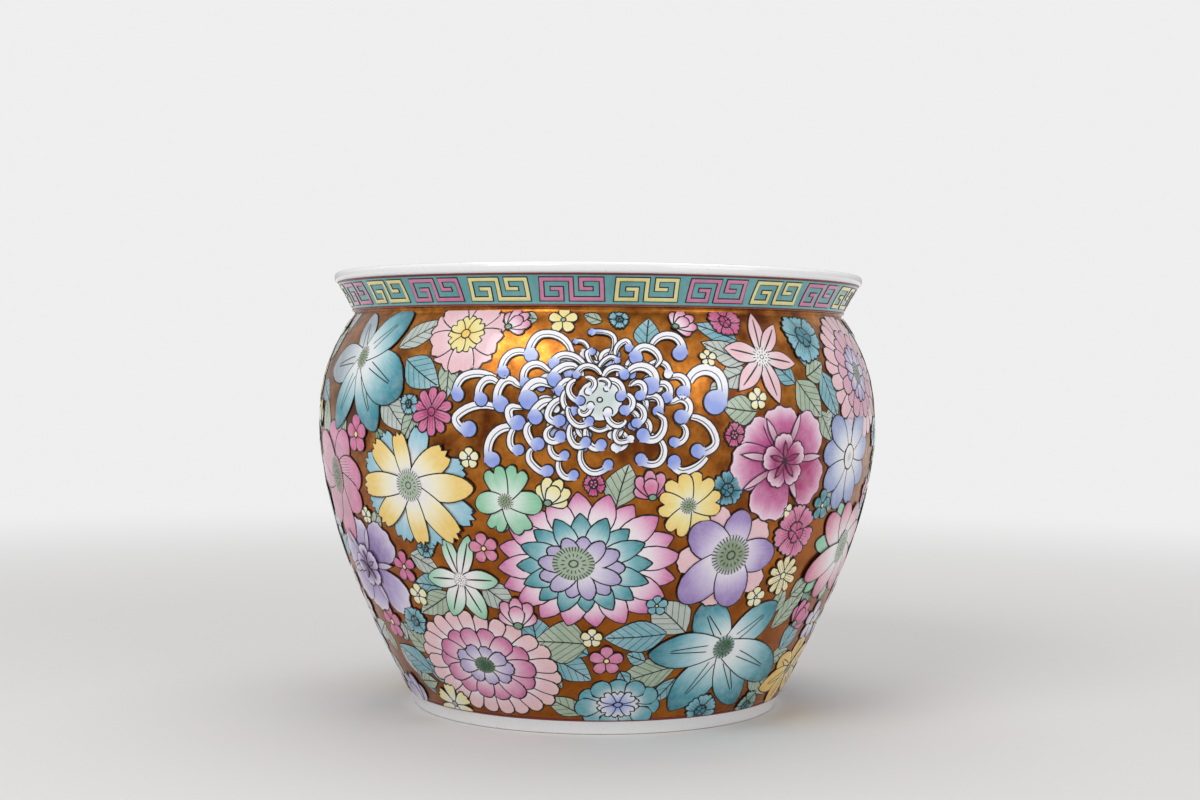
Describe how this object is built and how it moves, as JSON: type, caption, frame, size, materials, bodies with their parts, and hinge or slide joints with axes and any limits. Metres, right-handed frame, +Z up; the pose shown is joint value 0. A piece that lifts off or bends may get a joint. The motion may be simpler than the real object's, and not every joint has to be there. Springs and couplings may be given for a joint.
{
  "type": "fishbowl jardiniere",
  "caption": "Wide porcelain fishbowl planter with rolled lip, flared band, full belly and low foot ring, open at the top, standing on the floor.",
  "frame": {"origin": "on the axis of the pot, at the level of the foot ring's resting face", "axes": "+Z up along the axis of revolution, -Y towards the side that the picture shows"},
  "size_m": [0.357, 0.357, 0.2755],
  "materials": {
    "glazed_porcelain": "clear gloss glaze over white porcelain, on the lip, the foot and the inside",
    "gilding": "burnished gilt ground of the belly and the shoulder",
    "overglaze_enamel": "glossy raised enamels, outlined in black, in teal, pink, yellow, violet and green",
    "unglazed_clay": "bare fired clay under the foot ring"
  },
  "bodies": {
    "root": {"porcelain_jardiniere": "glazed_porcelain"}
  },
  "joints": []
}
